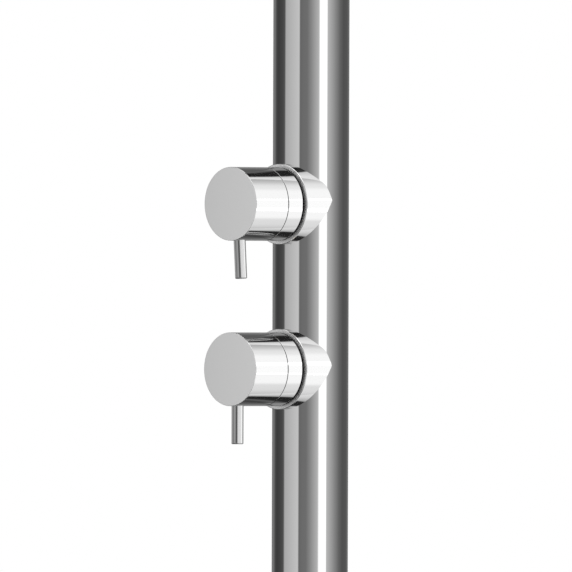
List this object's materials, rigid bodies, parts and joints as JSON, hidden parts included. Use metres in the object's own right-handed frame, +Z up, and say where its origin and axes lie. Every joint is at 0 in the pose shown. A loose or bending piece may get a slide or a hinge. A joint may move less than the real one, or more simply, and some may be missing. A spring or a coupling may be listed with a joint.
{
  "type": "outdoor shower post",
  "caption": "Free-standing polished steel shower post with a hot and a cold lever control, a round base plate to bolt down, and a tilting rain head on a bent arm.",
  "frame": {"origin": "middle of the base plate's underside, on the floor", "axes": "+Z up along the post, -Y the way the controls and the shower arm point, +X to the right for someone who faces the controls"},
  "size_m": [0.22, 0.55, 2.154],
  "materials": {
    "polished_steel": "mirror-polished stainless steel",
    "control_chrome": "bright polished steel, with a satin-turned front face",
    "brass": "machined brass",
    "copper_pipe": "drawn copper pipe",
    "black_rubber": "matt black rubber",
    "white_plastic": "moulded acetal plastic",
    "ceramic": "lapped alumina ceramic",
    "grey_silicone": "soft silicone",
    "dark_steel": "blackened steel"
  },
  "bodies": {
    "post": {"base_plate": "polished_steel", "inlet_block": "brass", "post_tube": "polished_steel", "top_cap": "polished_steel", "cold_pipe": "copper_pipe", "hot_pipe": "copper_pipe", "link_pipe": "copper_pipe", "riser_pipe": "copper_pipe", "arm_elbow": "brass", "arm_collar": "polished_steel", "shower_arm": "polished_steel", "ball_stem": "polished_steel", "lower_collar": "polished_steel", "lower_groove_ring": "black_rubber", "lower_sleeve": "polished_steel", "lower_valve_body": "brass", "lower_cartridge": "white_plastic", "lower_gasket": "black_rubber", "lower_fixed_disc": "ceramic", "lower_ring_nut": "brass", "upper_collar": "polished_steel", "upper_groove_ring": "black_rubber", "upper_sleeve": "polished_steel", "upper_valve_body": "brass", "upper_cartridge": "white_plastic", "upper_gasket": "black_rubber", "upper_fixed_disc": "ceramic", "upper_ring_nut": "brass"},
    "lower_control": {"lower_moving_disc": "ceramic", "lower_spindle": "brass", "lower_spindle_seal": "black_rubber", "lower_handle": "control_chrome", "lower_lever_pin": "control_chrome", "lower_grub_screw": "dark_steel"},
    "upper_control": {"upper_moving_disc": "ceramic", "upper_spindle": "brass", "upper_spindle_seal": "black_rubber", "upper_handle": "control_chrome", "upper_lever_pin": "control_chrome", "upper_grub_screw": "dark_steel"},
    "head": {"ball_nut": "polished_steel", "ball_seat": "white_plastic", "head_shell": "polished_steel", "nozzle_plate": "polished_steel", "nozzles": "grey_silicone"}
  },
  "joints": [
    {"name": "lower_turn", "type": "hinge", "parent": "post", "child": "lower_control", "pos_m": [0, -0.06, 1.04], "axis": [0, -1, 0], "range_deg": [0, 90]},
    {"name": "upper_turn", "type": "hinge", "parent": "post", "child": "upper_control", "pos_m": [0, -0.06, 1.15], "axis": [0, 1, 0], "range_deg": [0, 90]},
    {"name": "head_tilt", "type": "hinge", "parent": "post", "child": "head", "pos_m": [0, -0.34, 1.963], "axis": [1, 0, 0], "range_deg": [-12, 12]}
  ]
}
